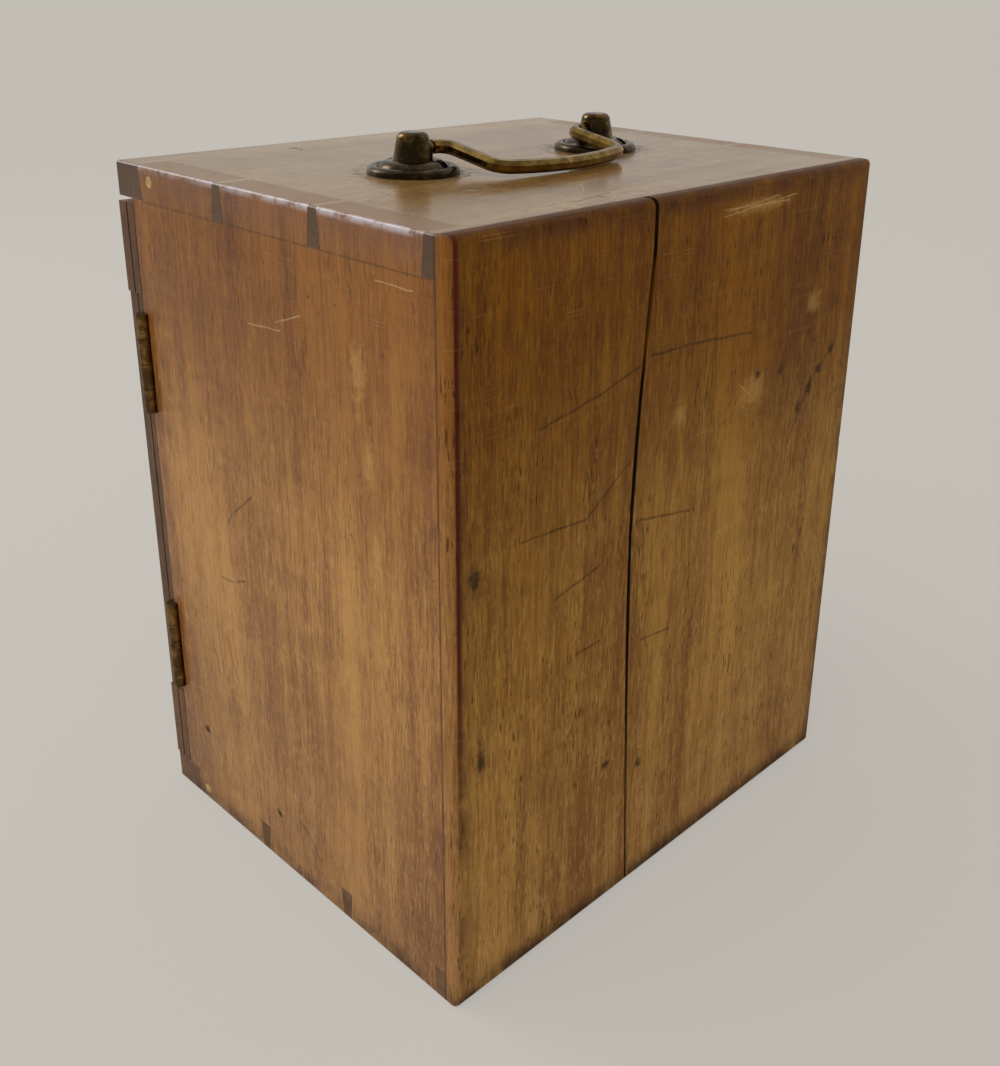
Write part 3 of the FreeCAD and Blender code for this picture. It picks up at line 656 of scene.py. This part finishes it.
SIDE_MARKS = {
    "dark_lines": [
        [(-37.4, 158.2), (-33.6, 164.0), (-17.3, 177.4)],
        [(-45.9, 130.8), (-36.0, 132.0), (-26.8, 136.2)],
        [(1.5, 31.8), (10.0, 26.5), (16.2, 18.5)],
        [(-14.3, 26.9), (-13.3, 26.3)],
        [(-73.1, 42.8), (-67.5, 40.1)],
    ],
    "ruled": [[(-82.0, 285.6), (94.0, 285.6)]],
    "pale_lines": [
        [(-11.0, 250.2), (9.9, 251.6)],
        [(7.7, 254.5), (22.3, 259.7)],
        [(65.9, 280.6), (84.2, 280.5)],
    ],
    "pale_rubs": [(55.0, 247.0, 7.0, 18.0), (59.0, 214.0, 5.0, 16.0), (62.0, 180.0, 4.0, 14.0)],
    "stains": [(-70.0, 42.0, 4.0, 3.0), (-13.8, 26.6, 3.6, 3.6)],
    "split": [],
    # Height of the top edge that gets the painted highlight.
    "painted_highlight_edge": 300.0,
}
print("lines on the hinge side:", len(SIDE_MARKS["dark_lines"]) + len(SIDE_MARKS["pale_lines"]))

# %% [markdown]
# The back carries the most wear. Long shallow scratches cross the grain, a chain of dark stains runs
# down near its right edge, and hands have left pale rubs near the top. The line of the split is listed
# too.

# %% Marks on the back

BACK_MARKS = {
    "dark_lines": [
        [(83.0, 228.4), (52.6, 233.6), (27.5, 240.4)],
        [(91.6, 188.7), (57.4, 186.6), (34.0, 202.7)],
        [(73.6, 159.3), (49.1, 164.8)],
        [(26.4, 176.0), (-5.9, 169.9)],
        [(24.0, 242.2), (-5.2, 241.3), (-40.3, 238.4)],
        [(-38.9, 87.5), (-39.2, 78.5)],
        [(-42.8, 86.8), (-43.2, 77.2)],
        [(-107.0, 225.5), (-106.0, 219.2), (-97.9, 212.9), (-88.0, 203.9), (-81.2, 192.0),
         (-75.2, 179.8)],
        [(22.5, 121.1), (4.1, 119.1)],
        [(-50.3, 63.8), (-58.0, 72.0)],
        [(61.8, 131.0), (47.5, 131.6)],
    ],
    "ruled": [],
    "pale_lines": [
        [(-15.9, 288.4), (-64.6, 291.9)],
        [(-15.5, 291.1), (-59.9, 289.7)],
        [(-18.0, 290.2), (-52.0, 292.6)],
        [(-34.7, 216.9), (-42.0, 211.0)],
    ],
    "pale_rubs": [
        (-44.0, 212.0, 15.0, 14.0), (-40.0, 290.0, 34.0, 5.0),
        (-86.0, 243.0, 9.0, 9.0), (5.0, 214.0, 7.0, 9.0),
    ],
    "stains": [
        (113.5, 182.0, 5.5, 11.0), (-64.3, 217.3, 4.0, 5.0), (-47.0, 219.0, 3.5, 3.5),
        (-88.3, 203.8, 5.0, 7.0), (20.0, 60.0, 4.0, 4.0), (-95.5, 210.8, 5.0, 4.0),
        (-104.4, 218.6, 3.0, 6.0), (-80.6, 195.4, 3.0, 5.0), (111.0, 108.0, 3.5, 13.0),
        (41.3, 70.2, 4.0, 3.0),
    ],
    "split": [(24.4, 0.0), (29.5, 96.0), (31.9, 171.0), (29.7, 225.0), (25.0, 282.0), (25.2, 300.0)],
    "painted_highlight_edge": None,
}
print("lines on the back:", len(BACK_MARKS["dark_lines"]) + len(BACK_MARKS["pale_lines"]))

# %% [markdown]
# On the top, thin dark lines show where the ends of the tails meet the board, and polish has gone dull
# in a ring round each foot of the handle. The same three tails sit on both sides, so their lines are a
# small loop.

# %% Marks on the top

TAILS = [(-83.6, -28.4), (-24.2, 31.0), (35.2, 90.4)]
TAIL_DEPTH_LINE = 109.3
TOP_MARKS = {
    "dark_lines": [
        [(-20.0, -60.0), (-6.0, -57.0)],
        [(30.0, 82.0), (52.0, 86.0)],
        [(-60.0, 88.0), (-20.0, 90.0)],
        [(122.5, -83.8), (109.2, -83.4), (109.2, -50.0)],
    ],
    "ruled": [
        [(side * TAIL_DEPTH_LINE, start), (side * TAIL_DEPTH_LINE, stop)]
        for side in (1, -1)
        for start, stop in TAILS
    ],
    "pale_lines": [[(20.0, 60.0), (34.0, 74.0)]],
    "pale_rubs": [],
    "stains": [
        (49.0, -84.0, 3.4, 3.4), (48.6, -79.0, 1.8, 1.8),
        (53.0, 2.0, 36.0, 36.0), (-53.0, 2.0, 36.0, 36.0),
    ],
    "split": [],
    "painted_highlight_edge": None,
}
print("ruled lines on the top:", len(TOP_MARKS["ruled"]))

# %% [markdown]
# Each board gets its own part of the pattern, so that neighbours look like different pieces of wood.
# The two pieces of the back were one board before it split, so they share theirs. The upright boards
# have their grain along Z. The top, the bottom and the door's cleats have it along X.

# %% Wood on the two sides

SIDE_FACE = ("y", "z", "x")
SIDE_TINT = (1.03, 1.0, 0.9, 1.0)
TAIL_END = rgb(136, 98, 55)
SIDE_POLISH = {
    "tint": SIDE_TINT, "gloss": 0.14, "head": SIDE_HEAD_SHADE, "foot": SIDE_FOOT_SHADE, "ends": 0.8, "seam": True,
    "specular": 0.36, "cut": TAIL_END, "end_specular": 0.6,
}

mahogany("side_polish", ["hinge_side_board"], "z", (0.3, 0.1, 0.2), pored=0.4, face=SIDE_FACE,
         marks=SIDE_MARKS, **SIDE_POLISH)
mahogany("far_side_polish", ["lock_side_board"], "z", (1.4, 0.7, 0.9), **SIDE_POLISH)

# %% [markdown]
# The back has the dullest polish. Its tint carries painted shade, for the back faces away from the
# light, with the deepest orange painted at its head and a lighter, cooler foot. The top is polished most
# and mirrors the pale room, so its wood reads cooler. The door is darker than the box and darker still
# along its side edges, and its cleats lie across the panel to keep it flat.

# %% Wood on the other boards

BACK_FACE = ("x", "z", "y")
TOP_FACE = ("x", "y", "z")
# Painted shade on the back: a more golden tint, a dark orange head and a lighter, cooler foot.
BACK_SHADE_TINT = (1.0, 1.0, 0.62, 1.0)
BACK_HEAD_SHADE = (0.58, 0.42, 0.05, 1.0)
BACK_FOOT_LIGHT = (1.13, 1.18, 1.75, 1.0)
TOP_TINT = (0.72, 0.79, 0.74, 1.0)
DOOR_TINT = (0.72, 0.66, 0.6, 1.0)

mahogany("back_polish", ["back_board_wide_piece", "back_board_narrow_piece"], "z", (2.2, 0.4, 0.5),
         BACK_SHADE_TINT, 0.34, BACK_HEAD_SHADE, BACK_FOOT_LIGHT, specular=0.15, pored=0.7, corner=0.6,
         face=BACK_FACE, marks=BACK_MARKS)
mahogany("top_polish", ["top_board"], "x", (0.6, 1.9, 0.3), TOP_TINT, 0.04, ends=0.8, seam=True,
         specular=0.6, face=TOP_FACE, marks=TOP_MARKS)
mahogany("bottom_polish", ["bottom_board"], "x", (3.1, 0.9, 0.1), ends=0.65, seam=True)
mahogany("door_panel_polish", ["door_panel"], "z", (4.4, 1.2, 0.8), DOOR_TINT, rim=0.6)
for cleat, offset in (("door_top_cleat", 5.2), ("door_bottom_cleat", 6.1)):
    mahogany(cleat + "_polish", [cleat], "x", (offset, 0.2, 0.5), DOOR_TINT, ends=0.35, rim=0.4)

# %% [markdown]
# Old brass is golden only where hands and cloth have rubbed it. In the hollows a brown and olive skin
# stays. One recipe makes every fitting: gold and skin mixed by soft noise, with more or less of each,
# and small black pits. A single flat metal colour would look new.

# %% Aged brass

BLACK_SKIN = rgb(40, 34, 28)
RUBBED_FROM, RUBBED_TO = 0.85, 1.25
WORN_REACH = 0.55
SKIN_ROUGHER = 0.1
RUBBED_SMOOTHER = 0.12
PIT_DEPTH = 0.03 * MM


def aged_brass(name, node_names, gold, skin, worn, rough=0.34, metallic=1.0):
    """Brass with a patina. worn is the share of the surface that is rubbed golden."""
    f = Finish(name)
    place = f.place()
    cloud = f.noise(place, (210, 210, 210), detail=4.0, rough=0.6, warp=0.3)
    speck = f.noise(place, (1500, 1500, 1500), detail=2.0, rough=0.6)
    mixed = weighted(f, [(cloud, 1.0), (speck, 0.35)])
    rubbed = f.step(mixed, RUBBED_FROM - WORN_REACH * worn, RUBBED_TO - WORN_REACH * worn)
    colour = f.mix(rubbed, skin, gold)
    pits = f.step(f.noise(place, (2400, 2400, 2400), detail=1.0), 0.66, 0.76)
    colour = f.cover(colour, BLACK_SKIN, pits, 0.5)
    roughness = f.math("SUBTRACT", rough + SKIN_ROUGHER, f.times(rubbed, RUBBED_SMOOTHER))
    f.set(Base_Color=colour, Metallic=metallic, Roughness=roughness)
    f.set(Normal=f.bump(f.math("SUBTRACT", cloud, pits), PIT_DEPTH, 0.5))
    f.dress(node_names)
    print(name, "on", len(node_names), "nodes")


print("recipe for brass ready")

# %% [markdown]
# The bail of the handle is rubbed smooth, because it is held. Its roses are nearly black, the hinges
# brown, and the lock inside the door has kept most of its gold. The nails are rubbed with the wood and
# look like pale discs, so they get less metal and more plain colour.

# %% Brass on every fitting

hinges = [name for name in nodes if "_hinge_" in name]
screws = [name for name in nodes if name.endswith("_screws")]
roses = ["near_handle_rose", "far_handle_rose"]
posts = ["near_handle_post", "far_handle_post"]
lock = ["lock_plate", "lock_cap", "lock_bolt", "lock_keeper", "keyhole_escutcheon"]

aged_brass("hinge_brass", hinges, rgb(172, 132, 74), rgb(92, 69, 42), 0.45, 0.3)
aged_brass("rose_bronze", roses, rgb(112, 94, 68), rgb(58, 48, 38), 0.5, 0.2)
aged_brass("post_brass", posts, rgb(166, 132, 72), rgb(72, 59, 39), 0.45, 0.13)
aged_brass("bail_brass", ["handle_bail"], rgb(174, 143, 80), rgb(112, 91, 50), 0.6, 0.14)
aged_brass("nail_brass", ["dovetail_nails"], rgb(214, 180, 110), rgb(140, 110, 62), 0.8, 0.35, 0.5)
aged_brass("screw_brass", screws, rgb(120, 100, 60), BLACK_SKIN, 0.35)
aged_brass("lock_brass", lock, rgb(190, 154, 84), rgb(136, 108, 60), 0.6)

# %% [markdown]
# Each front tail is held by one brass nail, driven flush and polished down with the wood, so its head
# shows as a worn disc. The solid nail is a plain pin. Its head is rebuilt here as a shallow dome,
# because a flat disc at the level of the wood would flicker. It is a flattened ball, half of it sunk in
# the wood: radius and height both depend on one angle, and a second angle goes round.

# %% Surface of a nail head
import numpy as np

NAIL_HEAD_R = 2.3 * MM
NAIL_PROUD = 0.25 * MM
NAIL_RINGS = 13
NAIL_TURNS = 32


def flat_ball(centre, side):
    """Points of a ball flattened along X.

    At angle a, radius = R cos(a) and height = proud sin(a). The angle b goes once round.
    """
    a = np.linspace(-np.pi / 2, np.pi / 2, NAIL_RINGS)[:, None]
    b = np.linspace(0.0, 2 * np.pi, NAIL_TURNS, endpoint=False)[None, :]
    x = centre[0] + side * NAIL_PROUD * np.sin(a) + 0.0 * b
    y = centre[1] + NAIL_HEAD_R * np.cos(a) * np.cos(b)
    z = centre[2] + NAIL_HEAD_R * np.cos(a) * np.sin(b)
    return np.stack([x, y, z], axis=-1).reshape(-1, 3)


def ring_faces(first, side):
    """Quads between neighbouring rings, closed round, wound so that they face outwards."""
    ring, turn = np.meshgrid(np.arange(NAIL_RINGS - 1), np.arange(NAIL_TURNS), indexing="ij")
    after = (turn + 1) % NAIL_TURNS
    low = first + ring * NAIL_TURNS
    high = low + NAIL_TURNS
    quads = np.stack([low + turn, low + after, high + after, high + turn], axis=-1)
    return quads.reshape(-1, 4)[:, ::int(side)]


print("points in one nail head:", len(flat_ball((0.0, 0.0, 0.0), 1.0)))

# %% [markdown]
# The four heads sit on the outer faces of the two sides, one at each front corner. They never move
# against the case, so one mesh holds them all. At each pole of a ball a whole ring of points falls
# together, and merging them closes the surface.

# %% Nail heads
import bmesh

NAIL_PLACES = [(side * 123.5 * MM, -75.5 * MM, z * MM) for side in (-1, 1) for z in (6.0, 294.0)]
POLE_MERGE = 1e-7

points = []
faces = []
for place in NAIL_PLACES:
    side = np.sign(place[0])
    faces.append(ring_faces(len(points) * NAIL_RINGS * NAIL_TURNS, side))
    points.append(flat_ball(place, side))
mesh = bpy.data.meshes.new("dovetail_nail_heads")
mesh.from_pydata(np.concatenate(points).tolist(), [], np.concatenate(faces).tolist())
poles = bmesh.new()
poles.from_mesh(mesh)
bmesh.ops.remove_doubles(poles, verts=poles.verts, dist=POLE_MERGE)
poles.to_mesh(mesh)
poles.free()
mesh.polygons.foreach_set("use_smooth", np.ones(len(mesh.polygons), dtype=bool))
nail_heads = bpy.data.objects.new("dovetail_nail_heads", mesh)
bpy.context.scene.collection.objects.link(nail_heads)
mesh.materials.append(nodes["dovetail_nails"].data.materials[0])
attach(nail_heads, "case")
print("nail heads:", len(NAIL_PLACES), "faces:", len(mesh.polygons))

# %% [markdown]
# The case stands on a plain pale floor that fills the picture. A floor lit only by lamps would grow
# dark towards its far end. For the camera it is therefore partly lit by itself, so that it stays an
# even pale tone, and the rest of it still takes the shadow of the case.

# %% Floor

PALE = rgb(203, 199, 192)
FLOOR_SIZE = 120.0
FLOOR_ROUGHNESS = 0.9
SELF_LIT = 0.66


def pale_floor():
    """Large sheet at z = 0, part of whose pale tone the camera sees without light."""
    mesh = bpy.data.meshes.new("floor")
    half = FLOOR_SIZE / 2
    corners = [(-half, -half, 0), (half, -half, 0), (half, half, 0), (-half, half, 0)]
    mesh.from_pydata(corners, [], [(0, 1, 2, 3)])
    floor = bpy.data.objects.new("floor", mesh)
    bpy.context.scene.collection.objects.link(floor)
    f = Finish("floor_paper")
    f.set(Base_Color=PALE, Roughness=FLOOR_ROUGHNESS, Specular_IOR_Level=0.0)
    share = f.times(f.ray("Is Camera Ray"), SELF_LIT)
    glow = f.node("Emission", {"Color": PALE, "Strength": 1.0})
    both = f.node("MixShader", {0: share, 1: f.shader.outputs[0], 2: glow})
    f.feed(f.tree.nodes["Material Output"].inputs["Surface"], both)
    mesh.materials.append(f.material)


pale_floor()
print("floor of", FLOOR_SIZE, "metres")

# %% [markdown]
# In the photograph the light is broad, as from a large window, so shadows have no edge. One lamp alone
# would draw one. Here the air itself is brighter towards the hinge side. Polish and brass mirror the
# room, which is pale beyond the case and dimmer behind the camera.

# %% Light from the air

AIR_BASE = 0.36
AIR_GAIN = 0.95
WINDOW_WAY = (0.78, -0.04, 0.62)
BEYOND_WAY = (-0.62, -0.72, 0.31)
ROOM_TURN = (-0.3, 0.4)
ROOM_DIM = 0.25
FAR_TONE = 0.885


def surround():
    """Air around the case, for three kinds of rays.

    The camera sees one pale tone. Mirrors see it beyond the case, and a dimmer room behind the camera.
    Soft light is base + gain * max(0, way . window)^2.
    """
    world = bpy.data.worlds.new("pale_room")
    world.use_nodes = True
    bpy.context.scene.world = world
    air = Tree(world.node_tree)
    background = air.tree.nodes["Background"]
    way = air.node("TexCoord", {}, "Generated")
    lobe = air.ramp(air.vector("DOT_PRODUCT", way, WINDOW_WAY, "Value"), 0.0, 1.0, 0.0, 1.0)
    dimmest = AIR_BASE / PALE[1]
    brightest = (AIR_BASE + AIR_GAIN) / PALE[1]
    soft = air.ramp(air.times(lobe, lobe), 0.0, 1.0, dimmest, brightest)
    room = air.ramp(air.vector("DOT_PRODUCT", way, BEYOND_WAY, "Value"), *ROOM_TURN, ROOM_DIM, 1.0)
    mirrored = air.math("MAXIMUM", air.ray("Is Glossy Ray"), air.ray("Is Transmission Ray"))
    unseen = air.ramp(mirrored, 0.0, 1.0, soft, room)
    level = air.ramp(air.ray("Is Camera Ray"), 0.0, 1.0, unseen, FAR_TONE)
    air.feed(background.inputs["Color"], PALE)
    air.feed(background.inputs["Strength"], level)


surround()
print("air from", AIR_BASE, "to", round(AIR_BASE + AIR_GAIN, 2))

# %% [markdown]
# Air alone leaves brass without a spark. A broad cool lamp beyond the door puts glints on the brass and
# a sheen on the top edges. It is a large disc, as a window is, so that it adds no hard shadow.

# %% Lamp beyond the door

LAMP_PLACE = (0.55, -1.3, 1.15)
LAMP_AIM = (0.0, 0.0, 0.25)
LAMP_SIZE = 0.9
LAMP_POWER = 7.0
LAMP_TONE = (0.88, 0.94, 1.0)

lamp_data = bpy.data.lights.new("window", "AREA")
lamp_data.shape = "DISK"
lamp_data.size = LAMP_SIZE
lamp_data.energy = LAMP_POWER
lamp_data.color = LAMP_TONE
lamp = bpy.data.objects.new("window", lamp_data)
bpy.context.scene.collection.objects.link(lamp)
lamp.location = LAMP_PLACE
lamp.rotation_euler = (Vector(LAMP_AIM) - Vector(LAMP_PLACE)).to_track_quat("-Z", "Y").to_euler()
print("lamp of", LAMP_POWER, "watts")

# %% [markdown]
# The camera stands where the photograph was taken from. Its place, turn and lens were worked out from
# the straight edges of the box, and the small shift is there because the picture was cropped off
# centre.

# %% Camera

CAMERA_PLACE = (0.3551, 0.3630, 0.3736)
CAMERA_TURN_DEG = (69.43, -0.90, 134.21)
CAMERA_LENS = 40.22
CAMERA_SENSOR = 36.0
CAMERA_SHIFT = (-0.0375, -0.1060)
CAMERA_NEAR = 0.01

camera_data = bpy.data.cameras.new("camera")
camera_data.lens = CAMERA_LENS
camera_data.sensor_width = CAMERA_SENSOR
camera_data.shift_x, camera_data.shift_y = CAMERA_SHIFT
camera_data.clip_start = CAMERA_NEAR
camera = bpy.data.objects.new("camera", camera_data)
camera.location = CAMERA_PLACE
camera.rotation_euler = Euler([radians(angle) for angle in CAMERA_TURN_DEG], "XYZ")
bpy.context.scene.collection.objects.link(camera)
bpy.context.scene.camera = camera
bpy.context.scene.view_settings.view_transform = "Standard"
print("camera with a lens of", CAMERA_LENS, "mm")
